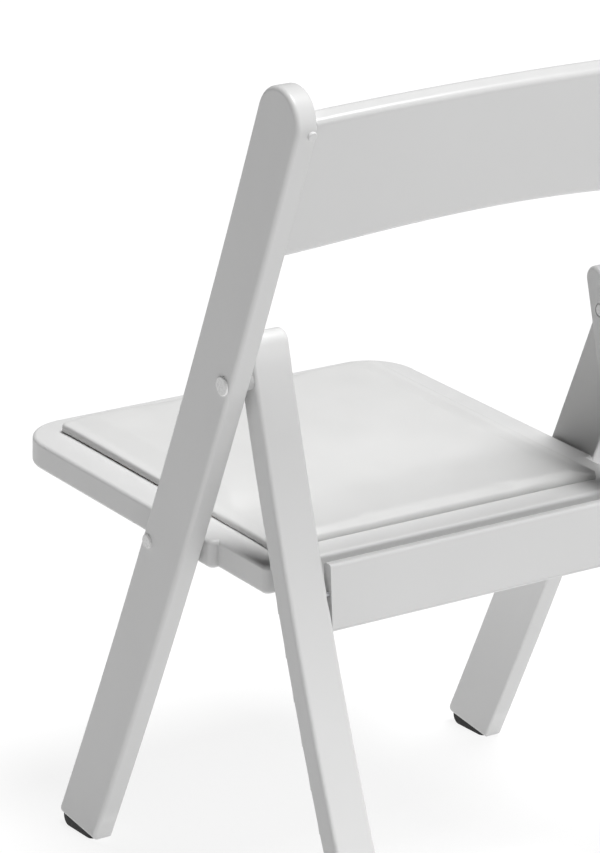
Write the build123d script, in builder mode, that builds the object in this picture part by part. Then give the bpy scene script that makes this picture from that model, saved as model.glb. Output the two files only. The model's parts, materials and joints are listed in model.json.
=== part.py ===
"""Folding chair of moulded resin: bowed posts, rear legs that swing, and a padded seat that tips up.

Millimetres.  +Z is up, the sitter faces -Y, and +X is the sitter's left.
The origin is on the floor under the middle of the chair's box, with the chair open.
"""
import os
from math import atan, cos, degrees, hypot, radians, sin, sqrt

from build123d import *

# ---------------------------------------------------------------- driving dimensions
chair_width = 449.0          # over the outer faces of the posts
chair_depth = 540.0          # from the seat's front edge to the rear legs' feet
chair_height = 740.0         # floor to the top of the posts

post_thick = 19.5            # along X
post_deep = 57.0             # square to the post, in the side view
post_lean = 337.2            # how far the front edge goes back from floor to top
post_rise = 9.3              # bulge of the post towards the rear
post_foot_back = 97.1        # post's front edge at the floor, behind the seat's front edge
post_outer_edge = 5.5        # rounding of the edges away from the sitter
post_inner_edge = 2.0        # rounding of the edges beside the seat and the backrest
post_toe_round = 7.0         # front corner of the cut end, in the side view
post_toe_cut = 11.0          # height of the cut end's front corner
post_heel_cut = 2.0          # height of the cut end's rear corner

leg_wide = 38.0              # along X
leg_thick = 23.0             # square to the leg, in the side view
leg_rise = 9.3               # bulge of the leg towards the front
leg_above_pivot = 37.0       # top of the leg over the rivet's centre
leg_cut = 9.0                # height of the leg's cut end
leg_edge = 3.5

pivot_drop = 263.0           # upper rivet, on which the rear legs swing, below the posts' top
pivot_inset = 9.5            # rivet's centre from the post's rear edge
leg_behind_pivot = 9.0       # leg's rear face behind the rivet's centre
leg_gap = 6.5                # between post and leg

seat_pivot_height = 310.5    # lower rivet, on which the seat tips
seat_pivot_inset = 9.2       # rivet's centre from the post's front edge
seat_thick = 25.0
seat_rear_top = 320.5        # height of the seat's top at its rear edge
seat_slope = 2.4             # degrees, front edge higher
seat_gap = 3.0               # between the seat's side and the post
seat_rear_step = 7.5         # how much each side steps in behind the posts
seat_corner = 46.0
seat_step_corner = 6.0
seat_step_behind_post = 6.0  # rear end of the wide part, behind the post's rear edge
seat_to_leg = 10.8           # open gap between the seat's rear edge and the leg
seat_edge = 3.5

pad_front_rim = 24.0
pad_rear_rim = 21.0
pad_side_rim = 27.0
pad_front_high = 9.0         # above the seat at the pad's front edge
pad_rear_high = 6.0          # above the seat at the pad's rear edge
pad_corner = 8.0
board_thick = 4.0
board_in = 6.0               # board's edge inside the pad's edge

bar_high = 58.0              # crossbar between the rear legs
bar_thick = 10.0
bar_top = 327.0
bar_proud = 6.5              # bar's rear face behind the leg's rear face, at the bar's top
bar_lean = 3.0               # bar's lower edge behind its upper edge
bar_edge = 3.0
bar_gap = 3.0                # between the bar's end and the leg, crossed by the dowels

back_top_drop = 25.4         # backrest's upper edge at the posts, below the posts' top
back_end_high = 121.0        # backrest's height where it meets the posts
back_thick = 18.0
back_dish = 12.0             # middle of the backrest behind its ends
back_crown = 15.5            # rise of the top edge towards the middle
back_arch = 22.5             # rise of the bottom edge towards the middle
arch_at = 0.55               # place of the arch's haunch, as a share of the half width
arch_share = 0.66            # share of the arch's rise reached there
arch_slope = 0.17            # slope of the bottom edge at the posts
back_inset = 3.0             # rear face ahead of the post's rear edge
back_edge = 5.0
tenon_long = 10.0
tenon_root = 4.0             # tenon's length inside the backrest
tenon_thick = 9.0
tenon_high = 84.0

rivet_shank = 8.0
upper_head = 16.0
inner_head = 11.0            # rivet's closed end, inside the leg's bore
seat_head = 12.0
head_thick = 2.0
head_edge = 0.8
bush_wall = 2.0
spacer_wide = 15.0
seat_bush_deep = 25.0
peg_wide = 8.0
peg_long = 30.0
peg_proud = 1.6
peg_from_joint = 4.5         # peg's centre outside the post's inner face
peg_below_top = 11.0

foot_wide = 14.0
foot_toe_in = 6.0            # rubber set back from the post's front corner
foot_heel_in = 8.0
foot_toe_round = 8.0         # rubber's front lower corner, in the side view
foot_heel_round = 5.5        # rubber's rear corners, from above
foot_stem = 8.0
foot_stem_long = 20.0
rear_foot_wide = 32.0
rear_foot_deep = 18.0
rear_stem_long = 12.0
plug_wide = 18.0
plug_height = 431.0
plug_deep = 5.0
plug_bevel = 1.0             # round the plug's outer face

fold_legs = 39.5             # degrees that the rear legs swing to fold flat
fold_seat = 108.0            # degrees that the seat tips over the same fold
guide_pin = 5.0
guide_pin_long = 13.0
guide_pin_above = 13.9       # pin's centre above the seat's top plane
guide_pin_behind = 10.4      # pin's centre behind the seat's rear edge
tab_thick = 4.0
tab_hold = 22.0              # length of the tab inside the seat
tab_nose = 3.6               # radius of the tab round its pin
tab_height = 16.0            # depth of the tab's root in the seat
tab_under_top = 3.5          # seat material above the tab's root

dowel_wide = 5.0
dowel_long = 22.0
dowel_drops = (26.0, 46.0)   # dowels below the bar's top
screw_wide = 4.0
screw_head = 8.0
screw_head_high = 2.5
screw_inset = 55.0

shaft_clearance = 0.05       # radial, rivet in its bush
face_clearance = 0.2         # between faces that turn past each other
guide_clearance = 0.4        # round the guide pin and beside the tab
mortise_clearance = 0.1
arc_parts = 8                # lengths that each long arc is drawn in

# ---------------------------------------------------------------- the side view's long arcs


class Bow:
    """A shallow arc in the side view, from a low end to a high end, bulging by rise towards +Y."""

    def __init__(self, low, high, rise):
        span_y = high[0] - low[0]
        span_z = high[1] - low[1]
        chord = hypot(span_y, span_z)
        self.side = 1 if rise > 0 else -1
        self.radius = (chord**2 / 4 + rise**2) / (2 * abs(rise))
        reach = rise - self.side * self.radius
        self.centre_y = (low[0] + high[0]) / 2 + span_z / chord * reach
        self.centre_z = (low[1] + high[1]) / 2 - span_y / chord * reach

    def y(self, z, back=0.0):
        """Y at height z, on the arc moved back by that much."""
        radius = self.radius + self.side * back
        return self.centre_y + self.side * sqrt(radius**2 - (z - self.centre_z) ** 2)

    def point(self, z, back=0.0):
        return (self.y(z, back), z)

    def square(self, z, back=0.0):
        """Unit vector square to the arc, pointing backwards."""
        out_y = (self.y(z, back) - self.centre_y) * self.side
        out_z = (z - self.centre_z) * self.side
        length = hypot(out_y, out_z)
        return (out_y / length, out_z / length)

    def lean(self, z, back=0.0):
        """Degrees from upright, positive where the arc goes back as it rises."""
        out_y, out_z = self.square(z, back)
        return degrees(atan(-out_z / out_y))


def long_arc(bow, back, start_z, end_z):
    """Arc of the bow moved back by that much, between two heights, in equal lengths."""
    heights = [start_z + (end_z - start_z) * step / arc_parts for step in range(arc_parts + 1)]
    for near_z, far_z in zip(heights, heights[1:]):
        ThreePointArc(bow.point(near_z, back), bow.point((near_z + far_z) / 2, back), bow.point(far_z, back))


def bowed_bar(bow, front, rear, toe_z, heel_z, top_z):
    """Lines of a bar between two concentric arcs, cut below and rounded on top."""
    half = (rear - front) / 2
    middle = front + half
    cap_z = top_z - half
    cap_y = bow.y(cap_z, middle)
    back_y, back_z = bow.square(cap_z, middle)
    front_end = (cap_y - half * back_y, cap_z - half * back_z)
    rear_end = (cap_y + half * back_y, cap_z + half * back_z)
    crest = (cap_y - half * back_z, cap_z + half * back_y)
    long_arc(bow, front, toe_z, front_end[1])
    ThreePointArc(bow.point(front_end[1], front), crest, bow.point(rear_end[1], rear))
    long_arc(bow, rear, rear_end[1], heel_z)
    Line(bow.point(heel_z, rear), bow.point(toe_z, front))


def turned(point, centre, angle):
    """A side-view point turned about a centre; positive lifts what is ahead of the centre."""
    away_y = point[0] - centre[0]
    away_z = point[1] - centre[1]
    turn = radians(angle)
    return (centre[0] + away_y * cos(turn) + away_z * sin(turn),
            centre[1] - away_y * sin(turn) + away_z * cos(turn))


# ---------------------------------------------------------------- places worked out from the sizes
front_y = -chair_depth / 2
rear_y = chair_depth / 2
pivot_height = chair_height - pivot_drop
leg_top = pivot_height + leg_above_pivot
back_top = chair_height - back_top_drop
back_bottom = back_top - back_end_high

post_out_x = chair_width / 2
post_in_x = post_out_x - post_thick
post_mid_x = post_out_x - post_thick / 2
post_foot_y = front_y + post_foot_back
post = Bow((post_foot_y, 0), (post_foot_y + post_lean, chair_height), post_rise)

leg_out_x = post_in_x - leg_gap
leg_in_x = leg_out_x - leg_wide
leg_mid_x = leg_out_x - leg_wide / 2

pivot = post.point(pivot_height, post_deep - pivot_inset)
seat_pivot = post.point(seat_pivot_height, seat_pivot_inset)
leg = Bow((rear_y, leg_cut), (pivot[0] + leg_behind_pivot, pivot_height), -leg_rise)

seat_rear_y = leg.y(seat_rear_top, -leg_thick) - seat_to_leg
seat_plane = Plane(origin=(0, seat_rear_y, seat_rear_top), x_dir=(1, 0, 0),
                   z_dir=(0, sin(radians(seat_slope)), cos(radians(seat_slope))))
seat_long = (seat_rear_y - front_y) / cos(radians(seat_slope))
seat_half = post_in_x - seat_gap
seat_rear_half = seat_half - seat_rear_step
step_y = post.y(seat_rear_top, post_deep) + seat_step_behind_post - seat_rear_y
seat_floor = seat_plane.offset(-seat_thick)

pad_half = seat_half - pad_side_rim
pad_long = seat_long - pad_front_rim - pad_rear_rim
pad_mid = -pad_rear_rim - pad_long / 2

bush_wide = rivet_shank + 2 * shaft_clearance + 2 * bush_wall
bush_bore = rivet_shank + 2 * shaft_clearance
bush_end_x = leg_in_x + head_thick + 2 * face_clearance

guide_point = seat_plane.from_local_coords((0, guide_pin_behind, guide_pin_above))
guide_start = (guide_point.Y, guide_point.Z)


def guide_place(share):
    """Where the guide pin is in the leg's own frame, after that share of the fold."""
    moved = turned(guide_start, seat_pivot, fold_seat * share)
    return turned(moved, pivot, -fold_legs * share)


guide_path = [guide_place(step / 8) for step in range(9)]

sides = {"left": 1, "right": -1}
os.makedirs("parts", exist_ok=True)

# ---------------------------------------------------------------- posts
back_mid_z = (back_bottom + back_top) / 2
back_lean = post.lean(back_mid_z, post_deep)
back_face = post.point(back_mid_z, post_deep - back_inset)
back_plane = Plane(origin=(0, *back_face), x_dir=(1, 0, 0),
                   z_dir=(0, sin(radians(back_lean)), cos(radians(back_lean))))
tenon_y = -back_thick / 2
cut_slope = (post_heel_cut - post_toe_cut) / (post.y(post_heel_cut, post_deep) - post.y(post_toe_cut))
stem_y = post.y(post_toe_cut, post_deep / 2)
peg_z = back_top - peg_below_top
peg_back_y, peg_back_z = post.square(peg_z, post_deep)
peg_seat = post.point(peg_z, post_deep)


def cut_height(y):
    """Height of the post's slanted end at Y."""
    return post_toe_cut + (y - post.y(post_toe_cut)) * cut_slope


def peg_plane(sign):
    """Plane of the post's rear face at a backrest peg, facing backwards."""
    place = (sign * (post_in_x + peg_from_joint), *peg_seat)
    return Plane(origin=place, x_dir=(1, 0, 0), z_dir=(0, peg_back_y, peg_back_z))


for side, sign in sides.items():
    with BuildPart() as side_post:
        with BuildSketch(Plane.YZ.offset(sign * post_in_x)) as outline:
            with BuildLine():
                bowed_bar(post, 0, post_deep, post_toe_cut, post_heel_cut, chair_height)
            make_face()
            fillet(outline.vertices().group_by(Axis.Y)[0], post_toe_round)
        extrude(amount=sign * post_thick)
        inner_face, outer_face = side_post.faces().filter_by(Axis.X).sort_by(Axis.X)[::sign]
        inner_rim = inner_face.edges()
        fillet(outer_face.edges(), post_outer_edge)
        fillet(inner_rim, post_inner_edge)
        with BuildSketch(Plane.YZ.offset(sign * post_in_x)):
            for centre in (pivot, seat_pivot):
                with Locations(centre):
                    Circle(rivet_shank / 2)
        extrude(amount=sign * post_thick, mode=Mode.SUBTRACT)
        with BuildSketch(Plane.XY):
            with Locations((sign * post_mid_x, stem_y)):
                Circle(foot_stem / 2)
        extrude(amount=foot_stem_long + cut_height(stem_y), mode=Mode.SUBTRACT)
        with BuildSketch(back_plane.offset(-tenon_high / 2 - mortise_clearance)):
            with Locations((sign * (post_in_x + tenon_long / 2), tenon_y)):
                Rectangle(tenon_long + mortise_clearance, tenon_thick + 2 * mortise_clearance)
        extrude(amount=tenon_high + 2 * mortise_clearance, mode=Mode.SUBTRACT)
        with BuildSketch(peg_plane(sign)):
            Circle(peg_wide / 2)
        extrude(amount=-peg_long, mode=Mode.SUBTRACT)
    side_post.part.label = f"{side}_post"
    export_step(side_post.part, f"parts/{side}_post.step")

# ---------------------------------------------------------------- backrest
back_half = post_in_x
back_high = (back_top - back_bottom) / cos(radians(back_lean))
back_front = Plane(origin=back_plane.origin, x_dir=(1, 0, 0), z_dir=-back_plane.y_dir)
run_out = back_half * arch_at
top_z = back_high / 2

with BuildPart() as backrest:
    with BuildSketch(back_plane.offset(-back_high)):
        with BuildLine():
            rear = ThreePointArc((-back_half, 0), (0, back_dish), (back_half, 0))
            front = ThreePointArc((-back_half, -back_thick), (0, back_dish - back_thick),
                                  (back_half, -back_thick))
            Line(rear @ 0, front @ 0)
            Line(rear @ 1, front @ 1)
        make_face()
    extrude(amount=2 * back_high)
    with BuildSketch(back_front.offset(-3 * back_dish)):
        with BuildLine():
            top = ThreePointArc((-back_half, top_z), (0, top_z + back_crown), (back_half, top_z))
            bottom = Spline((-back_half, -top_z), (-run_out, back_arch * arch_share - top_z),
                            (0, back_arch - top_z), (run_out, back_arch * arch_share - top_z),
                            (back_half, -top_z), tangents=((1, arch_slope), (1, -arch_slope)))
            Line(top @ 0, bottom @ 0)
            Line(top @ 1, bottom @ 1)
        make_face()
    extrude(amount=6 * back_dish, mode=Mode.INTERSECT)
    long_edges = backrest.edges().filter_by(lambda edge: edge.length > back_half)
    fillet(long_edges, back_edge)
    for sign in sides.values():
        with BuildSketch(back_plane.offset(-tenon_high / 2)):
            with Locations((sign * (post_in_x + (tenon_long - tenon_root) / 2), tenon_y)):
                Rectangle(tenon_long + tenon_root, tenon_thick)
        extrude(amount=tenon_high)
        with BuildSketch(peg_plane(sign)):
            Circle(peg_wide / 2)
        extrude(amount=-peg_long, mode=Mode.SUBTRACT)
backrest.part.label = "backrest"
export_step(backrest.part, "parts/backrest.step")

with BuildPart() as backrest_pegs:
    for sign in sides.values():
        with BuildSketch(peg_plane(sign).offset(peg_proud)):
            Circle(peg_wide / 2)
        extrude(amount=-peg_long - peg_proud)
    domes = backrest_pegs.edges().filter_by(GeomType.CIRCLE).group_by(Axis.Y)[-1]
    fillet(domes, peg_proud / 2)
backrest_pegs.part.label = "backrest_pegs"
export_step(backrest_pegs.part, "parts/backrest_pegs.step")

# ---------------------------------------------------------------- rubber feet of the posts
toe_y = post.y(post_toe_cut) + foot_toe_in
heel_y = post.y(post_heel_cut, post_deep) - foot_heel_in

for side, sign in sides.items():
    with BuildPart() as front_foot:
        with BuildSketch(Plane.YZ.offset(sign * post_mid_x)):
            with BuildLine():
                Polyline((toe_y, 0), (heel_y, 0), (heel_y, cut_height(heel_y)),
                         (toe_y, cut_height(toe_y)), close=True)
            make_face()
        extrude(amount=foot_wide / 2, both=True)
        fillet(front_foot.edges().filter_by(Axis.X).group_by(Axis.Z)[0].sort_by(Axis.Y)[0], foot_toe_round)
        fillet(front_foot.edges().filter_by(Axis.Z).group_by(Axis.Y)[-1], foot_heel_round)
        with BuildSketch(Plane.XY.offset(cut_height(heel_y) / 2)):
            with Locations((sign * post_mid_x, stem_y)):
                Circle(foot_stem / 2)
        extrude(amount=foot_stem_long + cut_height(stem_y) - cut_height(heel_y) / 2)
    front_foot.part.label = f"{side}_front_foot"
    export_step(front_foot.part, f"parts/{side}_front_foot.step")

# ---------------------------------------------------------------- rivets, spacers and washers
for side, sign in sides.items():
    inner_end = bush_end_x - face_clearance
    with BuildPart() as upper_rivet:
        with BuildSketch(Plane.YZ.offset(sign * inner_end)):
            with Locations(pivot):
                Circle(rivet_shank / 2)
        extrude(amount=sign * (post_out_x - inner_end))
        for start, head in ((post_out_x, upper_head), (inner_end - head_thick, inner_head)):
            with BuildSketch(Plane.YZ.offset(sign * start)):
                with Locations(pivot):
                    Circle(head / 2)
            extrude(amount=sign * head_thick)
        rims = upper_rivet.edges().filter_by(GeomType.CIRCLE).sort_by(Axis.X)
        fillet([rims[0], rims[-1]], head_edge)
    upper_rivet.part.label = f"{side}_upper_rivet"
    export_step(upper_rivet.part, f"parts/{side}_upper_rivet.step")

    with BuildPart() as spacer:
        with BuildSketch(Plane.YZ.offset(sign * (leg_out_x + face_clearance))):
            with Locations(pivot):
                Circle(spacer_wide / 2)
                Circle(rivet_shank / 2, mode=Mode.SUBTRACT)
        extrude(amount=sign * (leg_gap - face_clearance))
    spacer.part.label = f"{side}_spacer"
    export_step(spacer.part, f"parts/{side}_spacer.step")

    seat_shank_end = seat_half - seat_bush_deep + face_clearance
    with BuildPart() as seat_rivet:
        with BuildSketch(Plane.YZ.offset(sign * seat_shank_end)):
            with Locations(seat_pivot):
                Circle(rivet_shank / 2)
        extrude(amount=sign * (post_out_x - seat_shank_end))
        with BuildSketch(Plane.YZ.offset(sign * post_out_x)):
            with Locations(seat_pivot):
                Circle(seat_head / 2)
        extrude(amount=sign * head_thick)
        rims = seat_rivet.edges().filter_by(GeomType.CIRCLE).sort_by(Axis.X)
        outer_rim = rims[-1] if sign > 0 else rims[0]
        fillet(outer_rim, head_edge)
    seat_rivet.part.label = f"{side}_seat_rivet"
    export_step(seat_rivet.part, f"parts/{side}_seat_rivet.step")

with BuildPart() as seat_washers:
    for sign in sides.values():
        with BuildSketch(Plane.YZ.offset(sign * (seat_half + face_clearance))):
            with Locations(seat_pivot):
                Circle(spacer_wide / 2)
                Circle(rivet_shank / 2, mode=Mode.SUBTRACT)
        extrude(amount=sign * (post_in_x - seat_half - face_clearance))
seat_washers.part.label = "seat_washers"
export_step(seat_washers.part, "parts/seat_washers.step")

# ---------------------------------------------------------------- rear legs
path_top = guide_path[0]
path_end = guide_path[-1]
groove_half = guide_pin / 2 + guide_clearance
slot_half = tab_nose + guide_clearance
slot_reach = 2 * leg_thick
plug_at = leg.point(plug_height)
plug_back = leg.square(plug_height)
leg_stem_y = leg.y(leg_cut, -leg_thick / 2)
bar_back_y = leg.y(bar_top) + bar_proud
bar_slope = bar_lean / bar_high
dowel_places = [(bar_back_y - bar_thick / 2 + bar_slope * drop, bar_top - drop) for drop in dowel_drops]


def guide_slot(half):
    """Face swept by a disc of that radius along the guide path."""
    with BuildLine():
        path = Spline(*guide_path)
    trace(path, line_width=2 * half)
    for end in (path_top, path_end):
        with Locations(end):
            Circle(half)


for side, sign in sides.items():
    slot_x = sign * leg_mid_x
    with BuildPart() as rear_leg:
        with BuildSketch(Plane.YZ.offset(sign * leg_in_x)):
            with BuildLine():
                bowed_bar(leg, -leg_thick, 0, leg_cut, leg_cut, leg_top)
            make_face()
        extrude(amount=sign * leg_wide)
        fillet(rear_leg.faces().filter_by(Axis.X).edges(), leg_edge)
        with BuildSketch(Plane.YZ.offset(sign * leg_in_x)):
            with Locations(pivot):
                Circle(bush_wide / 2)
        extrude(amount=sign * leg_wide, mode=Mode.SUBTRACT)
        with BuildSketch(Plane.YZ.offset(slot_x)):
            guide_slot(groove_half)
        extrude(amount=guide_pin_long / 2 + guide_clearance, both=True, mode=Mode.SUBTRACT)
        with BuildSketch(Plane.YZ.offset(slot_x)):
            guide_slot(slot_half)
            with BuildLine():
                near = Spline(*guide_path)
                far = Spline(*[(y - slot_reach, z) for y, z in guide_path])
                Line(near @ 0, far @ 0)
                Line(near @ 1, far @ 1)
            make_face()
            for end_y, end_z in (path_top, path_end):
                with Locations((end_y - slot_reach / 2, end_z)):
                    Rectangle(slot_reach, 2 * slot_half)
        extrude(amount=tab_thick / 2 + guide_clearance, both=True, mode=Mode.SUBTRACT)
        with BuildSketch(Plane(origin=(slot_x, *plug_at), x_dir=(1, 0, 0), z_dir=(0, *plug_back))):
            Circle(plug_wide / 2)
        extrude(amount=-plug_deep, mode=Mode.SUBTRACT)
        with BuildSketch(Plane.XY.offset(leg_cut)):
            with Locations((slot_x, leg_stem_y)):
                Circle(foot_stem / 2)
        extrude(amount=rear_stem_long, mode=Mode.SUBTRACT)
        with BuildSketch(Plane.YZ.offset(sign * leg_in_x)):
            with Locations(*dowel_places):
                Circle(dowel_wide / 2)
        extrude(amount=sign * dowel_long / 2, mode=Mode.SUBTRACT)
    rear_leg.part.label = f"{side}_rear_leg"
    export_step(rear_leg.part, f"parts/{side}_rear_leg.step")

with BuildPart() as leg_bushes:
    for sign in sides.values():
        with BuildSketch(Plane.YZ.offset(sign * bush_end_x)):
            with Locations(pivot):
                Circle(bush_wide / 2)
                Circle(bush_bore / 2, mode=Mode.SUBTRACT)
        extrude(amount=sign * (leg_out_x - bush_end_x))
leg_bushes.part.label = "leg_bushes"
export_step(leg_bushes.part, "parts/leg_bushes.step")

with BuildPart() as leg_plugs:
    for sign in sides.values():
        place = (sign * leg_mid_x, *plug_at)
        with BuildSketch(Plane(origin=place, x_dir=(1, 0, 0), z_dir=(0, *plug_back))):
            Circle(plug_wide / 2)
        extrude(amount=-plug_deep)
    rims = leg_plugs.edges().filter_by(GeomType.CIRCLE).group_by(Axis.Y)[-1]
    chamfer(rims, plug_bevel)
leg_plugs.part.label = "leg_plugs"
export_step(leg_plugs.part, "parts/leg_plugs.step")

for side, sign in sides.items():
    with BuildPart() as rear_foot:
        with BuildSketch(Plane.XY):
            with Locations((sign * leg_mid_x, leg_stem_y)):
                RectangleRounded(rear_foot_wide, rear_foot_deep, rear_foot_deep / 4)
        extrude(amount=leg_cut)
        with BuildSketch(Plane.XY.offset(leg_cut)):
            with Locations((sign * leg_mid_x, leg_stem_y)):
                Circle(foot_stem / 2)
        extrude(amount=rear_stem_long)
    rear_foot.part.label = f"{side}_rear_foot"
    export_step(rear_foot.part, f"parts/{side}_rear_foot.step")

# ---------------------------------------------------------------- crossbar and its dowels
bar_foot_y = bar_back_y + bar_lean
bar_bottom = bar_top - bar_high

with BuildPart() as rear_crossbar:
    with BuildSketch(Plane.YZ):
        with BuildLine():
            Polyline((bar_back_y, bar_top), (bar_foot_y, bar_bottom), (bar_foot_y - bar_thick, bar_bottom),
                     (bar_back_y - bar_thick, bar_top), close=True)
        make_face()
    extrude(amount=leg_in_x - bar_gap, both=True)
    fillet(rear_crossbar.edges().filter_by(Axis.X), bar_edge)
    for sign in sides.values():
        with BuildSketch(Plane.YZ.offset(sign * leg_in_x)):
            with Locations(*dowel_places):
                Circle(dowel_wide / 2)
        extrude(amount=-sign * dowel_long / 2, mode=Mode.SUBTRACT)
rear_crossbar.part.label = "rear_crossbar"
export_step(rear_crossbar.part, "parts/rear_crossbar.step")

with BuildPart() as crossbar_dowels:
    for sign in sides.values():
        with BuildSketch(Plane.YZ.offset(sign * leg_in_x)):
            with Locations(*dowel_places):
                Circle(dowel_wide / 2)
        extrude(amount=dowel_long / 2, both=True)
crossbar_dowels.part.label = "crossbar_dowels"
export_step(crossbar_dowels.part, "parts/crossbar_dowels.step")

# ---------------------------------------------------------------- seat frame
seat_side = Plane(origin=seat_plane.origin, x_dir=seat_plane.y_dir, z_dir=(1, 0, 0))
screw_places = [(x * (pad_half - screw_inset), pad_mid + y * (pad_long / 2 - screw_inset))
                for x in (-1, 1) for y in (-1, 1)]
board_half = pad_half - board_in
board_long = pad_long - 2 * board_in
tab_root = (-tab_hold / 2, -tab_under_top - tab_height / 2)

with BuildPart() as seat_frame:
    with BuildSketch(seat_plane) as seat_outline:
        with BuildLine():
            Polyline((-seat_half, -seat_long), (seat_half, -seat_long), (seat_half, step_y),
                     (seat_rear_half, step_y), (seat_rear_half, 0), (-seat_rear_half, 0),
                     (-seat_rear_half, step_y), (-seat_half, step_y), close=True)
        make_face()
        fillet(seat_outline.vertices().group_by(Axis.Y)[0], seat_corner)
        wide_ends = seat_outline.vertices().filter_by(lambda corner: abs(abs(corner.X) - seat_half) < 1)
        fillet(wide_ends.group_by(Axis.Y)[-1], seat_step_corner)
        fillet(seat_outline.vertices().group_by(Axis.Y)[-1], seat_step_corner)
    extrude(amount=-seat_thick)
    top = seat_frame.faces().sort_by(Axis.Z)[-1]
    bottom = seat_frame.faces().sort_by(Axis.Z)[0]
    fillet(top.edges() + bottom.edges(), seat_edge)
    with BuildSketch(seat_plane):
        with Locations((0, pad_mid)):
            Rectangle(2 * board_half, board_long)
    extrude(amount=-board_thick, mode=Mode.SUBTRACT)
    with BuildSketch(seat_floor):
        with Locations(*screw_places):
            Circle(screw_wide / 2)
    extrude(amount=seat_thick, mode=Mode.SUBTRACT)
    with BuildSketch(seat_floor):
        with Locations(*screw_places):
            Circle(screw_head / 2 + face_clearance)
    extrude(amount=screw_head_high + face_clearance, mode=Mode.SUBTRACT)
    for sign in sides.values():
        with BuildSketch(Plane.YZ.offset(sign * seat_half)):
            with Locations(seat_pivot):
                Circle(bush_wide / 2)
        extrude(amount=-sign * seat_bush_deep, mode=Mode.SUBTRACT)
        with BuildSketch(seat_side.offset(sign * leg_mid_x)):
            with Locations(tab_root):
                Rectangle(tab_hold, tab_height)
        extrude(amount=tab_thick / 2, both=True, mode=Mode.SUBTRACT)
seat_frame.part.label = "seat_frame"
export_step(seat_frame.part, "parts/seat_frame.step")

with BuildPart() as seat_bushes:
    for sign in sides.values():
        with BuildSketch(Plane.YZ.offset(sign * seat_half)):
            with Locations(seat_pivot):
                Circle(bush_wide / 2)
                Circle(bush_bore / 2, mode=Mode.SUBTRACT)
        extrude(amount=-sign * seat_bush_deep)
seat_bushes.part.label = "seat_bushes"
export_step(seat_bushes.part, "parts/seat_bushes.step")

# ---------------------------------------------------------------- pad, its board and screws
with BuildPart() as pad_board:
    with BuildSketch(seat_plane):
        with Locations((0, pad_mid)):
            Rectangle(2 * board_half, board_long)
        with Locations(*screw_places):
            Circle(screw_wide / 2, mode=Mode.SUBTRACT)
    extrude(amount=-board_thick)
pad_board.part.label = "pad_board"
export_step(pad_board.part, "parts/pad_board.step")

with BuildPart() as seat_pad:
    with BuildSketch(seat_side):
        with BuildLine():
            Polyline((-pad_rear_rim - pad_long, 0), (-pad_rear_rim, 0), (-pad_rear_rim, pad_rear_high),
                     (-pad_rear_rim - pad_long, pad_front_high), close=True)
        make_face()
    extrude(amount=pad_half, both=True)
    corners = seat_pad.edges().filter_by(lambda edge: edge.length < 2 * pad_front_high)
    fillet(corners, pad_corner)
    fillet(seat_pad.faces().sort_by(Axis.Z)[-1].edges(), pad_rear_high / 2)
seat_pad.part.label = "seat_pad"
export_step(seat_pad.part, "parts/seat_pad.step")

with BuildPart() as pad_screws:
    with BuildSketch(seat_floor.offset(face_clearance)):
        with Locations(*screw_places):
            Circle(screw_head / 2)
    extrude(amount=screw_head_high)
    with BuildSketch(seat_floor.offset(face_clearance)):
        with Locations(*screw_places):
            Circle(screw_wide / 2)
    extrude(amount=seat_thick - face_clearance)
pad_screws.part.label = "pad_screws"
export_step(pad_screws.part, "parts/pad_screws.step")

# ---------------------------------------------------------------- guide tabs and their pins
nose_low = (guide_pin_behind + tab_nose, guide_pin_above)
nose_high = (guide_pin_behind - tab_nose, guide_pin_above)
tab_low = -tab_under_top - tab_height

for side, sign in sides.items():
    with BuildPart() as guide_tab:
        with BuildSketch(seat_side.offset(sign * leg_mid_x)):
            with BuildLine():
                Polyline((-tab_hold, -tab_under_top), (-tab_hold, tab_low), (tab_nose, tab_low),
                         nose_low, nose_high, (0, -tab_under_top), close=True)
            make_face()
            with Locations((guide_pin_behind, guide_pin_above)):
                Circle(tab_nose)
                Circle(guide_pin / 2, mode=Mode.SUBTRACT)
        extrude(amount=tab_thick / 2, both=True)
    guide_tab.part.label = f"{side}_guide_tab"
    export_step(guide_tab.part, f"parts/{side}_guide_tab.step")

with BuildPart() as guide_pins:
    for sign in sides.values():
        with BuildSketch(seat_side.offset(sign * leg_mid_x)):
            with Locations((guide_pin_behind, guide_pin_above)):
                Circle(guide_pin / 2)
        extrude(amount=guide_pin_long / 2, both=True)
guide_pins.part.label = "guide_pins"
export_step(guide_pins.part, "parts/guide_pins.step")

print("leg pivot", [round(value, 3) for value in pivot])
print("seat pivot", [round(value, 3) for value in seat_pivot])
print("seat rear", round(seat_rear_y, 3))
print("front feet", round((toe_y + heel_y) / 2, 3), "rear feet", round(leg_stem_y, 3))
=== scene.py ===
"""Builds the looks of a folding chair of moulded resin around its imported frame."""
import json
import math

import bmesh
import bpy
from bpy.props import FloatProperty, FloatVectorProperty
from mathutils import Matrix, Vector


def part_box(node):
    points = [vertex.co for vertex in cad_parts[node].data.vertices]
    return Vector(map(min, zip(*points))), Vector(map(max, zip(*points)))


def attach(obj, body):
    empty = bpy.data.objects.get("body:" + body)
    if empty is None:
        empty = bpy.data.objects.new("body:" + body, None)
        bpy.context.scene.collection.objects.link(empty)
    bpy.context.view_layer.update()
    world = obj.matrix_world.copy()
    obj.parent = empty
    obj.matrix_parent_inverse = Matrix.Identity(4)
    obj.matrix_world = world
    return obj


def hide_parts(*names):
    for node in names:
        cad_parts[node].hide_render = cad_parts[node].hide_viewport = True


bl_info = {
    "name": "Folding Chair Looks",
    "version": (1, 0, 0),
    "blender": (4, 5, 0),
    "location": "View3D > Sidebar > Folding Chair",
    "description": "Adds the upholstered pad, fittings, finishes and studio of a resin folding chair",
    "category": "Object",
}

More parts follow.
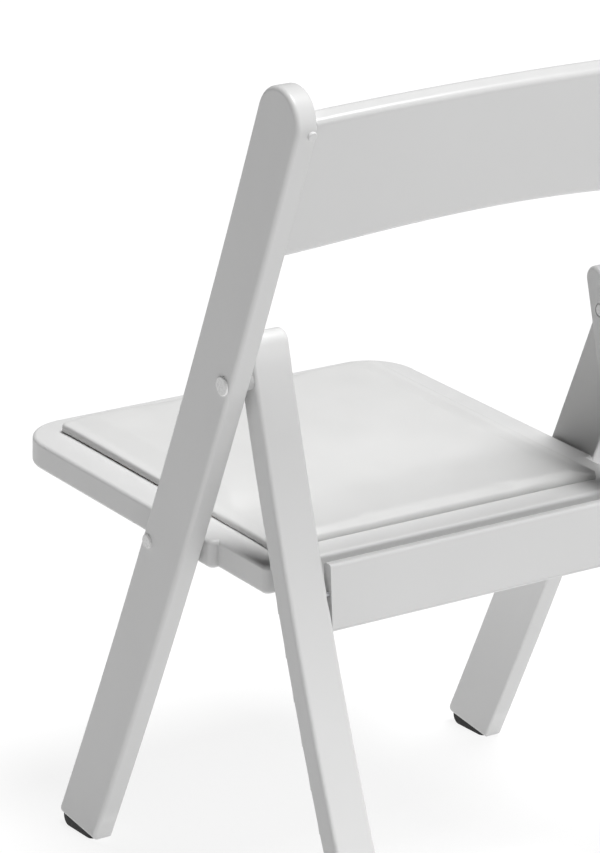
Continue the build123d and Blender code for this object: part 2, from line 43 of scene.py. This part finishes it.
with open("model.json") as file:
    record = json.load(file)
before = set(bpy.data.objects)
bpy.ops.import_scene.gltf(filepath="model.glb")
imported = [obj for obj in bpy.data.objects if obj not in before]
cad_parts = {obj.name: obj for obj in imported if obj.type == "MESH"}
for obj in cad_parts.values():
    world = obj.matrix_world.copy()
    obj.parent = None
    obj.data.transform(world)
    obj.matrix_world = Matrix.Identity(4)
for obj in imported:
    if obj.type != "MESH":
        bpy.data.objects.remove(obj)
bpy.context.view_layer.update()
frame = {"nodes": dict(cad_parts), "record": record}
# the studio, in metres and degrees: the camera's place, its direction and its film's width in
# millimetres, and for each light its place and the point that it looks at
CAMERA_PLACE = (2.0047, 2.8331, 1.4959)
CAMERA_DIRECTION = (-0.5352, -0.7867, -0.3077)
FILM_WIDTH = 36
VIEW_END = 60
KEY_PLACE = (-0.45, 0.55, 2.8)
KEY_AIM = (0, 0, 0.3)
KEY_SPREAD = 30
FILL_PLACE = (-0.7, 3.0, 1.0)
FILL_AIM = (0, 0, 0.35)
FILL_SIZE = 1.6
FLOOR_SIZE = 20
FLOOR_SHADE = (0.15, 0.15, 0.15)
# the part of a noise pattern's factor that is stretched over the whole range
NOISE_LOW = 0.3
NOISE_HIGH = 0.7
# points closer than this are one
SAME_PLACE = 1e-6
# flat lengths in each of the post's long arcs, round its top, round its toe and across its rims
POST_STEPS = 24
CAP_STEPS = 16
TOE_STEPS = 6
RIM_STEPS = 5
# the pad, in metres: corners seen from above, upper shoulder, tucked lower edge, mesh size, and how
# much the block is smaller on each side than the solid that it stands for
PAD_CORNER = 0.008
SHOULDER = 0.0035
TUCK = 0.0015
PAD_VOXEL = 0.0034
PAD_SHRINK = 0.001
CORNER_STEPS = 6
SHOULDER_STEPS = 4
CLOTH_FRAMES = 20
# how near a point is to the pad's underside, to the board's ends or to the pad's rear to count as on them
FLAT_BAND = 0.0005
EDGE_BAND = 0.004
REAR_BAND = 0.006
# soft hollows in the pad: place across and along (-1 to 1), width, depth in metres
DENTS = ((0.84, 0.52, 0.15, 0.0028), (0.0, 0.45, 0.32, 0.0016), (0.55, 0.78, 0.2, 0.0012))
# the underside as a share of the pad's height, the rear end as a share of half its length, and how far
# the underside goes down there
UNDER_SHARE = 0.3
REAR_SHARE = 0.9
REAR_TUCK = 0.0012
# beside the folded rear legs: how fast the top may rise inwards, and its gap below the solid's top
LANE_SLOPE = 0.25
LANE_SPARE = 0.0004


# ---------------------------------------------------------------- sizes and colours a user may change
class ChairFinish(bpy.types.PropertyGroup):
    resin_colour: FloatVectorProperty(
        name="Resin", description="Colour of the moulded frame", subtype="COLOR", size=4,
        min=0, max=1, default=(0.70, 0.70, 0.698, 1))
    pad_colour: FloatVectorProperty(
        name="Pad", description="Colour of the vinyl cover", subtype="COLOR", size=4,
        min=0, max=1, default=(0.70, 0.70, 0.695, 1))
    resin_roughness: FloatProperty(
        name="Resin roughness", description="How satin the moulded frame looks",
        min=0, max=1, default=0.36)
    grain_depth: FloatProperty(
        name="Grain", description="Strength of the mould's fine grain", min=0, max=1, default=0.05)


class ChairBars(bpy.types.PropertyGroup):
    post_foot: FloatProperty(
        name="Post foot", description="Place of the post's front edge at the floor, from the middle",
        unit="LENGTH", min=-1, max=1, default=-0.1729)
    post_lean: FloatProperty(
        name="Post lean", description="How far the post goes back from floor to top",
        unit="LENGTH", min=0, max=1, default=0.3372)
    post_bow: FloatProperty(
        name="Post bow", description="How far the post bulges to the rear", unit="LENGTH",
        min=0.001, max=0.1, default=0.0093)
    post_depth: FloatProperty(
        name="Post depth", description="Size of the post square to its length, in the side view",
        unit="LENGTH", min=0.01, max=0.2, default=0.057)
    toe_cut: FloatProperty(
        name="Toe cut", description="Height of the front corner of the post's cut end",
        unit="LENGTH", min=0, max=0.1, default=0.011)
    toe_round: FloatProperty(
        name="Toe rounding", description="Radius of the front corner of the cut end",
        unit="LENGTH", min=0.001, max=0.02, default=0.007)
    outer_edge: FloatProperty(
        name="Outer edges", description="Rounding of the edges away from the sitter",
        unit="LENGTH", min=0.0005, max=0.006, default=0.0055)
    inner_edge: FloatProperty(
        name="Inner edges", description="Rounding of the edges beside the seat and the backrest",
        unit="LENGTH", min=0.0005, max=0.005, default=0.002)


class ChairPad(bpy.types.PropertyGroup):
    crown: FloatProperty(
        name="Crown", description="How far the middle of the pad stands above its edge",
        unit="LENGTH", min=0, max=0.02, default=0.003)
    puff_limit: FloatProperty(
        name="Puff limit", description="Furthest that the foam may push the cover out",
        unit="LENGTH", min=0, max=0.02, default=0.004)


class ChairStage(bpy.types.PropertyGroup):
    key_power: FloatProperty(
        name="Key light", description="Strength of the broad light from overhead", min=0, max=20,
        default=3.75)
    fill_power: FloatProperty(
        name="Fill light", description="Strength of the soft light from behind the chair",
        unit="POWER", min=0, max=500, default=12)
    sky_strength: FloatProperty(
        name="Surround", description="Strength of the pale surround", min=0, max=5, default=0.02)
    floor_glow: FloatProperty(
        name="Floor glow", description="Light that the pale floor gives off itself",
        min=0, max=2, default=0.86)
    lens: FloatProperty(
        name="Lens", description="Focal length of the camera in millimetres", min=20, max=400,
        default=178.6)


# ---------------------------------------------------------------- materials
def new_material(name):
    """A node material with an empty tree, its shader and its output."""
    made = bpy.data.materials.new(name)
    made.use_nodes = True
    nodes = made.node_tree.nodes
    nodes.clear()
    shader = nodes.new("ShaderNodeBsdfPrincipled")
    output = nodes.new("ShaderNodeOutputMaterial")
    made.node_tree.links.new(shader.outputs["BSDF"], output.inputs["Surface"])
    return made, shader


def noise(made, scale, detail, stretch=(1, 1, 1)):
    """Factor of a noise pattern on the object's own coordinates."""
    nodes = made.node_tree.nodes
    links = made.node_tree.links
    place = nodes.new("ShaderNodeTexCoord")
    mapping = nodes.new("ShaderNodeMapping")
    mapping.inputs["Scale"].default_value = stretch
    pattern = nodes.new("ShaderNodeTexNoise")
    pattern.inputs["Scale"].default_value = scale
    pattern.inputs["Detail"].default_value = detail
    links.new(place.outputs["Object"], mapping.inputs["Vector"])
    links.new(mapping.outputs["Vector"], pattern.inputs["Vector"])
    return pattern.outputs["Fac"]


def spread(made, factor, low, high):
    """Maps a 0 to 1 factor to a range of numbers."""
    ranged = made.node_tree.nodes.new("ShaderNodeMapRange")
    ranged.inputs["From Min"].default_value = NOISE_LOW
    ranged.inputs["From Max"].default_value = NOISE_HIGH
    ranged.inputs["To Min"].default_value = low
    ranged.inputs["To Max"].default_value = high
    made.node_tree.links.new(factor, ranged.inputs["Value"])
    return ranged.outputs["Result"]


def shades(made, factor, colour, change):
    """A colour that drifts darker and lighter with a factor."""
    ramp = made.node_tree.nodes.new("ShaderNodeValToRGB")
    darker = [channel * (1 - change) for channel in colour[:3]]
    lighter = [min(1, channel * (1 + change)) for channel in colour[:3]]
    ramp.color_ramp.elements[0].position = NOISE_LOW
    ramp.color_ramp.elements[0].color = (*darker, 1)
    ramp.color_ramp.elements[1].position = NOISE_HIGH
    ramp.color_ramp.elements[1].color = (*lighter, 1)
    made.node_tree.links.new(factor, ramp.inputs["Fac"])
    return ramp.outputs["Color"]


def bump(made, heights, distance):
    """A normal from several (height, strength) pairs, laid over each other."""
    links = made.node_tree.links
    normal = None
    for height, strength in heights:
        relief = made.node_tree.nodes.new("ShaderNodeBump")
        relief.inputs["Strength"].default_value = strength
        relief.inputs["Distance"].default_value = distance
        links.new(height, relief.inputs["Height"])
        if normal is not None:
            links.new(normal, relief.inputs["Normal"])
        normal = relief.outputs["Normal"]
    return normal


def moulded_resin(name, colour, roughness, grain):
    """Satin moulded polypropylene: faint flow marks, fine grain and soft scuffs."""
    made, shader = new_material(name)
    links = made.node_tree.links
    flow = noise(made, 9, 3, (1, 1, 0.35))
    fine = noise(made, 1400, 2)
    scuffs = noise(made, 60, 6, (1, 1, 0.3))
    links.new(shades(made, flow, colour, 0.012), shader.inputs["Base Color"])
    links.new(spread(made, scuffs, roughness - 0.04, roughness + 0.05), shader.inputs["Roughness"])
    links.new(bump(made, [(fine, grain), (flow, grain)], 0.0004), shader.inputs["Normal"])
    shader.inputs["IOR"].default_value = 1.49
    shader.inputs["Subsurface Weight"].default_value = 0.04
    shader.inputs["Subsurface Radius"].default_value = (0.004, 0.004, 0.004)
    return made


def vinyl(name, colour):
    """Soft upholstery vinyl with a fine pebble grain."""
    made, shader = new_material(name)
    links = made.node_tree.links
    nodes = made.node_tree.nodes
    place = nodes.new("ShaderNodeTexCoord")
    pebbles = nodes.new("ShaderNodeTexVoronoi")
    pebbles.inputs["Scale"].default_value = 900
    pebbles.inputs["Randomness"].default_value = 0.9
    links.new(place.outputs["Object"], pebbles.inputs["Vector"])
    drift = noise(made, 7, 3)
    creases = noise(made, 28, 4)
    links.new(shades(made, drift, colour, 0.01), shader.inputs["Base Color"])
    links.new(spread(made, creases, 0.40, 0.50), shader.inputs["Roughness"])
    relief = bump(made, [(pebbles.outputs["Distance"], 0.08), (creases, 0.05)], 0.0005)
    links.new(relief, shader.inputs["Normal"])
    shader.inputs["Coat Weight"].default_value = 0.05
    shader.inputs["Coat Roughness"].default_value = 0.4
    return made


def rubber(name):
    """Black rubber with a dusty, slightly uneven surface."""
    made, shader = new_material(name)
    links = made.node_tree.links
    dust = noise(made, 220, 5)
    links.new(shades(made, dust, (0.012, 0.012, 0.012), 0.4), shader.inputs["Base Color"])
    links.new(spread(made, dust, 0.55, 0.75), shader.inputs["Roughness"])
    links.new(bump(made, [(dust, 0.2)], 0.0005), shader.inputs["Normal"])
    return made


def enamel(name, colour):
    """Painted metal of the rivet heads: smoother than the resin, with a slight orange peel."""
    made, shader = new_material(name)
    links = made.node_tree.links
    peel = noise(made, 500, 2)
    links.new(shades(made, peel, colour, 0.01), shader.inputs["Base Color"])
    links.new(spread(made, peel, 0.24, 0.32), shader.inputs["Roughness"])
    links.new(bump(made, [(peel, 0.06)], 0.0004), shader.inputs["Normal"])
    shader.inputs["Coat Weight"].default_value = 0.2
    shader.inputs["Coat Roughness"].default_value = 0.15
    return made


def steel(name):
    """Zinc-plated steel with faint streaks."""
    made, shader = new_material(name)
    links = made.node_tree.links
    streaks = noise(made, 160, 5, (0.1, 1, 1))
    links.new(shades(made, streaks, (0.55, 0.56, 0.58), 0.08), shader.inputs["Base Color"])
    links.new(spread(made, streaks, 0.28, 0.42), shader.inputs["Roughness"])
    links.new(bump(made, [(streaks, 0.1)], 0.0002), shader.inputs["Normal"])
    shader.inputs["Metallic"].default_value = 1.0
    return made


def plywood(name):
    """Unfinished plywood under the pad."""
    made, shader = new_material(name)
    links = made.node_tree.links
    grain = noise(made, 40, 6, (1, 0.08, 1))
    links.new(shades(made, grain, (0.50, 0.34, 0.19), 0.15), shader.inputs["Base Color"])
    links.new(spread(made, grain, 0.6, 0.75), shader.inputs["Roughness"])
    links.new(bump(made, [(grain, 0.2)], 0.0004), shader.inputs["Normal"])
    return made


def dress(node, material):
    """Gives a CAD node's whole surface one material."""
    piece = frame["nodes"][node]
    for place in piece.material_slots:
        place.material = material
    if not piece.material_slots:
        piece.data.materials.append(material)


def settings():
    scene = bpy.context.scene
    return scene.chair_finish, scene.chair_bars, scene.chair_pad, scene.chair_stage


# ---------------------------------------------------------------- operators
class CHAIR_OT_finishes(bpy.types.Operator):
    """Give every piece of the frame its moulded, painted or plated finish"""
    bl_idname = "chair.finishes"
    bl_label = "Frame Finishes"

    def execute(self, context):
        finish = context.scene.chair_finish
        resin = moulded_resin("frame_resin", finish.resin_colour, finish.resin_roughness,
                              finish.grain_depth)
        cap = moulded_resin("cap_resin", finish.resin_colour, finish.resin_roughness - 0.06,
                            finish.grain_depth)
        bearing = moulded_resin("bearing_plastic", (0.5, 0.5, 0.5, 1), 0.45, 0.05)
        looks = {
            "frame_resin": resin,
            "cap_resin": cap,
            "bearing_plastic": bearing,
            "pad_vinyl": vinyl("pad_vinyl_under", finish.pad_colour),
            "foot_rubber": rubber("foot_rubber"),
            "rivet_enamel": enamel("rivet_enamel", (0.86, 0.86, 0.855, 1)),
            "plain_steel": steel("plain_steel"),
            "board_wood": plywood("board_wood"),
        }
        for part in frame["record"]["subparts"]:
            dress(part["node"], looks[part["material_slot"]])
        return {"FINISHED"}


class CHAIR_OT_posts(bpy.types.Operator):
    """Add the bowed posts with their soft outer edges"""
    bl_idname = "chair.posts"
    bl_label = "Posts"

    def execute(self, context):
        bars = context.scene.chair_bars
        resin = frame["nodes"]["backrest"].data.materials[0]
        for side, sign in (("left", 1), ("right", -1)):
            piece = build_post(side, sign, bars)
            piece.data.materials.append(resin)
            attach(piece, "front_frame")
            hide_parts(f"{side}_post")
        return {"FINISHED"}


class CHAIR_OT_pad(bpy.types.Operator):
    """Add the foam pad under its vinyl cover"""
    bl_idname = "chair.pad"
    bl_label = "Seat Pad"

    def execute(self, context):
        finish = context.scene.chair_finish
        piece = build_pad(context.scene.chair_pad)
        piece.data.materials.append(vinyl("pad_vinyl", finish.pad_colour))
        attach(piece, "seat")
        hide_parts("seat_pad")
        return {"FINISHED"}


class CHAIR_OT_stage(bpy.types.Operator):
    """Set up the pale floor, the soft studio light and the camera"""
    bl_idname = "chair.stage"
    bl_label = "Studio"

    def execute(self, context):
        build_stage(context.scene.chair_stage)
        return {"FINISHED"}


# ---------------------------------------------------------------- the posts
class Bow:
    """A shallow arc in the side view, from a low end to a high end, bulging by rise towards +Y."""

    def __init__(self, low, high, rise):
        chord = Vector(high) - Vector(low)
        self.radius = (chord.length**2 / 4 + rise**2) / (2 * rise)
        out = Vector((chord.y, -chord.x)).normalized()
        self.centre = Vector(low) + chord / 2 + out * (rise - self.radius)

    def place(self, z, back):
        """The arc's point at height z, when the arc is moved back by that much."""
        radius = self.radius + back
        return Vector((self.centre.x + math.sqrt(radius**2 - (z - self.centre.y) ** 2), z))

    def square(self, z, back):
        return (self.place(z, back) - self.centre).normalized()


def post_outline(bars):
    """The post's side view: up the front arc, round the top and down the rear arc."""
    low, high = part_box("left_post")
    bow = Bow((bars.post_foot, 0), (bars.post_foot + bars.post_lean, high.z), bars.post_bow)
    half = bars.post_depth / 2
    cap_z = high.z - half
    middle = bow.place(cap_z, half)
    back = bow.square(cap_z, half)
    along = Vector((-back.y, back.x))
    front_z = middle.y - half * back.y
    rear_z = middle.y + half * back.y
    outline = []
    for step in range(POST_STEPS):
        outline.append(bow.place(bars.toe_cut + (front_z - bars.toe_cut) * step / POST_STEPS, 0))
    for step in range(CAP_STEPS):
        angle = math.pi * step / CAP_STEPS
        outline.append(middle + half * (along * math.sin(angle) - back * math.cos(angle)))
    for step in range(POST_STEPS + 1):
        outline.append(bow.place(rear_z + (low.z - rear_z) * step / POST_STEPS, bars.post_depth))
    return outline


def bevel_edges(bar, edges, radius, segments):
    bmesh.ops.bevel(bar, geom=edges, offset=radius, segments=segments, profile=0.5, affect="EDGES",
                    material=-1, clamp_overlap=True)


def build_post(side, sign, bars):
    """One post: its side view extruded across, the toe rounded and both rims softened."""
    low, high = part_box(f"{side}_post")
    inner = min(abs(low.x), abs(high.x)) * sign
    outer = max(abs(low.x), abs(high.x)) * sign
    outline = post_outline(bars)
    bar = bmesh.new()
    bmesh.ops.create_circle(bar, segments=len(outline), radius=1, cap_ends=True)
    for corner, place in zip(bar.verts, outline):
        corner.co = (inner, *place)
    raised = bmesh.ops.extrude_face_region(bar, geom=bar.faces[:], use_keep_orig=True)["geom"]
    lifted = [part for part in raised if isinstance(part, bmesh.types.BMVert)]
    bmesh.ops.translate(bar, vec=(outer - inner, 0, 0), verts=lifted)
    toe = [edge for edge in bar.edges
           if all((end.co.yz - outline[0]).length < SAME_PLACE for end in edge.verts)]
    bevel_edges(bar, toe, bars.toe_round, TOE_STEPS)
    for place, radius in ((outer, bars.outer_edge), (inner, bars.inner_edge)):
        rim = [edge for edge in bar.edges
               if all(abs(end.co.x - place) < SAME_PLACE for end in edge.verts)]
        bevel_edges(bar, rim, radius, RIM_STEPS)
    bmesh.ops.recalc_face_normals(bar, faces=bar.faces)
    mesh = bpy.data.meshes.new(f"{side}_post_shell")
    bar.to_mesh(mesh)
    bar.free()
    for face in mesh.polygons:
        face.use_smooth = True
    piece = bpy.data.objects.new(f"{side}_post_shell", mesh)
    bpy.context.collection.objects.link(piece)
    even = piece.modifiers.new("even normals", "WEIGHTED_NORMAL")
    even.weight = 100
    return piece


# ---------------------------------------------------------------- the pad
def seat_frame_axes():
    """The seat's tilted plane, from the board under the pad: origin, rearward and upward directions."""
    low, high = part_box("pad_board")
    points = [corner.co for corner in frame["nodes"]["pad_board"].data.vertices]
    front = max((place for place in points if place.y < low.y + EDGE_BAND), key=lambda place: place.z)
    rear = max((place for place in points if place.y > high.y - EDGE_BAND), key=lambda place: place.z)
    along = Vector((0, rear.y - front.y, rear.z - front.z)).normalized()
    up = Vector((0, -along.z, along.y))
    return Vector((0, front.y, front.z)), along, up


def pad_block(half, front, rear, front_high, rear_high, shrink):
    """The pad before it puffs: a wedge with round corners and soft shoulders, in the seat's plane."""
    block = bmesh.new()
    bmesh.ops.create_cube(block, size=1)
    bmesh.ops.translate(block, vec=(0, 0, 0.5), verts=block.verts)
    size = (2 * (half - shrink), rear - front - 2 * shrink, front_high)
    bmesh.ops.scale(block, vec=size, verts=block.verts)
    for corner in block.verts:
        if corner.co.z > 0 and corner.co.y > 0:
            corner.co.z = rear_high
    upright = [edge for edge in block.edges if abs(edge.verts[0].co.z - edge.verts[1].co.z) > rear_high / 2
               and abs(edge.verts[0].co.y - edge.verts[1].co.y) < shrink]
    bmesh.ops.bevel(block, geom=upright, offset=PAD_CORNER, segments=CORNER_STEPS, profile=0.5,
                    affect="EDGES", material=-1)
    for lower, radius in ((False, SHOULDER), (True, TUCK)):
        rim = [edge for edge in block.edges
               if all((corner.co.z < FLAT_BAND) == lower for corner in edge.verts)
               and len(edge.link_faces) == 2
               and min(abs(face.normal.z) for face in edge.link_faces) < 0.5
               and max(abs(face.normal.z) for face in edge.link_faces) > 0.5]
        bmesh.ops.bevel(block, geom=rim, offset=radius, segments=SHOULDER_STEPS, profile=0.5,
                        affect="EDGES", material=-1)
    bmesh.ops.translate(block, vec=(0, (front + rear) / 2, 0), verts=block.verts)
    return block


def puff(piece, limit):
    """Blows the cover up with a cloth simulation and keeps each point within limit of its start."""
    start = [corner.co.copy() for corner in piece.data.vertices]
    cloth = piece.modifiers.new("cover", "CLOTH")
    cloth.settings.quality = 6
    cloth.settings.mass = 0.2
    cloth.settings.tension_stiffness = 20
    cloth.settings.compression_stiffness = 20
    cloth.settings.bending_stiffness = 1.5
    cloth.settings.use_pressure = True
    cloth.settings.uniform_pressure_force = 4
    cloth.settings.effector_weights.gravity = 0
    scene = bpy.context.scene
    scene.frame_start = 1
    scene.frame_end = CLOTH_FRAMES
    for step in range(1, CLOTH_FRAMES + 1):
        scene.frame_set(step)
    graph = bpy.context.evaluated_depsgraph_get()
    blown = piece.evaluated_get(graph).to_mesh()
    moved = [corner.co.copy() for corner in blown.vertices]
    piece.evaluated_get(graph).to_mesh_clear()
    piece.modifiers.remove(cloth)
    scene.frame_set(1)
    for corner, first, last in zip(piece.data.vertices, start, moved):
        shift = last - first
        if shift.length > limit:
            shift *= limit / shift.length
        corner.co = first + shift


def build_pad(pad):
    """A thin upholstered pad: rounded plan, soft shoulders, a slight crown and a tucked lower edge."""
    base, along, up = seat_frame_axes()
    solid = frame["nodes"]["seat_pad"].data
    flat = []
    for corner in solid.vertices:
        away = corner.co - base
        flat.append((away.dot(along), corner.co.x, away.dot(up)))
    front = min(place[0] for place in flat)
    rear = max(place[0] for place in flat)
    half = max(place[1] for place in flat)
    front_high = max(place[2] for place in flat)
    rear_high = max(place[2] for place in flat if place[0] > rear - REAR_BAND)
    block = pad_block(half, front, rear, front_high, rear_high, PAD_SHRINK)
    mesh = bpy.data.meshes.new("seat_cushion")
    block.to_mesh(mesh)
    block.free()
    piece = bpy.data.objects.new("seat_cushion", mesh)
    bpy.context.collection.objects.link(piece)
    with bpy.context.temp_override(object=piece, active_object=piece, selected_objects=[piece]):
        piece.data.remesh_voxel_size = PAD_VOXEL
        piece.data.remesh_voxel_adaptivity = 0
        bpy.ops.object.voxel_remesh()
    puff(piece, pad.puff_limit)
    settle(piece.data, (front, rear), half, (front_high, rear_high), pad)
    turn = Matrix((Vector((1, 0, 0)), along, up)).transposed().to_4x4()
    piece.data.transform(Matrix.Translation(base) @ turn)
    for side in piece.data.polygons:
        side.use_smooth = True
    smooth = piece.modifiers.new("smooth", "SUBSURF")
    smooth.levels = 1
    smooth.render_levels = 1
    return piece


def settle(mesh, ends, half, heights, pad):
    """Rests the underside on the seat, crowns the top, presses in the places that sitters use and
    keeps the sides low enough for the rear legs to lie over them when the chair is folded."""
    front, rear = ends
    high, rear_high = heights
    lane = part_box("left_rear_leg")[0].x
    middle = (front + rear) / 2
    span = (rear - front) / 2
    for corner in mesh.vertices:
        across = corner.co.x / half
        forth = (corner.co.y - middle) / span
        height = max(0.0, corner.co.z) / high
        if corner.co.z < high * UNDER_SHARE:
            corner.co.z = max(corner.co.z, 0.0)
            if forth > REAR_SHARE:
                corner.co.z -= REAR_TUCK
        swell = max(0.0, 1 - across**2) * max(0.0, 1 - forth**2)
        corner.co.z += pad.crown * height * swell
        for dent_x, dent_y, width, depth in DENTS:
            away = ((across - dent_x) ** 2 + (forth - dent_y) ** 2) / width**2
            corner.co.z -= depth * height * math.exp(-away)
        level = high + (rear_high - high) * (corner.co.y - front) / (rear - front)
        room = LANE_SLOPE * max(0.0, lane - abs(corner.co.x)) - LANE_SPARE
        corner.co.z = min(corner.co.z, level + room)


# ---------------------------------------------------------------- floor, light and camera
def soft_light(kind, name, power, place, aim):
    """A lamp of that kind that looks at a point."""
    lamp = bpy.data.lights.new(name, kind)
    lamp.energy = power
    light = bpy.data.objects.new(name, lamp)
    bpy.context.collection.objects.link(light)
    light.location = place
    light.rotation_euler = (Vector(aim) - Vector(place)).to_track_quat("-Z", "Y").to_euler()
    return lamp


def build_stage(studio):
    ground = bmesh.new()
    bmesh.ops.create_grid(ground, x_segments=1, y_segments=1, size=FLOOR_SIZE)
    mesh = bpy.data.meshes.new("floor")
    ground.to_mesh(mesh)
    ground.free()
    floor = bpy.data.objects.new("floor", mesh)
    bpy.context.collection.objects.link(floor)
    made, shader = new_material("studio_floor")
    mottle = noise(made, 2, 2)
    made.node_tree.links.new(shades(made, mottle, FLOOR_SHADE, 0.004),
                             shader.inputs["Base Color"])
    shader.inputs["Roughness"].default_value = 0.9
    shader.inputs["Emission Color"].default_value = (1, 1, 1, 1)
    shader.inputs["Emission Strength"].default_value = studio.floor_glow
    mesh.materials.append(made)

    world = bpy.data.worlds.new("surround")
    world.use_nodes = True
    back = world.node_tree.nodes["Background"]
    back.inputs["Color"].default_value = (1, 1, 1, 1)
    back.inputs["Strength"].default_value = studio.sky_strength
    bpy.context.scene.world = world
    key = soft_light("SUN", "key", studio.key_power, KEY_PLACE, KEY_AIM)
    key.angle = math.radians(KEY_SPREAD)
    fill = soft_light("AREA", "fill", studio.fill_power, FILL_PLACE, FILL_AIM)
    fill.size = FILL_SIZE
    bpy.context.scene.view_settings.view_transform = "Standard"

    eye = bpy.data.cameras.new("camera")
    eye.lens = studio.lens
    eye.sensor_width = FILM_WIDTH
    eye.clip_end = VIEW_END
    camera = bpy.data.objects.new("camera", eye)
    bpy.context.collection.objects.link(camera)
    camera.location = CAMERA_PLACE
    camera.rotation_euler = Vector(CAMERA_DIRECTION).to_track_quat("-Z", "Y").to_euler()
    bpy.context.scene.camera = camera


# ---------------------------------------------------------------- panel and registration
class CHAIR_PT_panel(bpy.types.Panel):
    """Lists the chair's sizes, colours and builders"""
    bl_idname = "CHAIR_PT_panel"
    bl_label = "Folding Chair"
    bl_space_type = "VIEW_3D"
    bl_region_type = "UI"
    bl_category = "Folding Chair"

    def draw(self, context):
        for group in settings():
            box = self.layout.box()
            for name in group.__annotations__:
                box.prop(group, name)
        for operator in OPERATORS:
            self.layout.operator(operator.bl_idname)


OPERATORS = (CHAIR_OT_finishes, CHAIR_OT_posts, CHAIR_OT_pad, CHAIR_OT_stage)
CLASSES = (ChairFinish, ChairBars, ChairPad, ChairStage, *OPERATORS, CHAIR_PT_panel)


def register():
    for entry in CLASSES:
        bpy.utils.register_class(entry)
    bpy.types.Scene.chair_finish = bpy.props.PointerProperty(type=ChairFinish)
    bpy.types.Scene.chair_bars = bpy.props.PointerProperty(type=ChairBars)
    bpy.types.Scene.chair_pad = bpy.props.PointerProperty(type=ChairPad)
    bpy.types.Scene.chair_stage = bpy.props.PointerProperty(type=ChairStage)


def unregister():
    del bpy.types.Scene.chair_finish
    del bpy.types.Scene.chair_bars
    del bpy.types.Scene.chair_pad
    del bpy.types.Scene.chair_stage
    for entry in reversed(CLASSES):
        bpy.utils.unregister_class(entry)


def main():
    register()
    bpy.ops.chair.finishes()
    bpy.ops.chair.posts()
    bpy.ops.chair.pad()
    bpy.ops.chair.stage()
    bpy.context.view_layer.update()


if __name__ == "__main__":
    main()
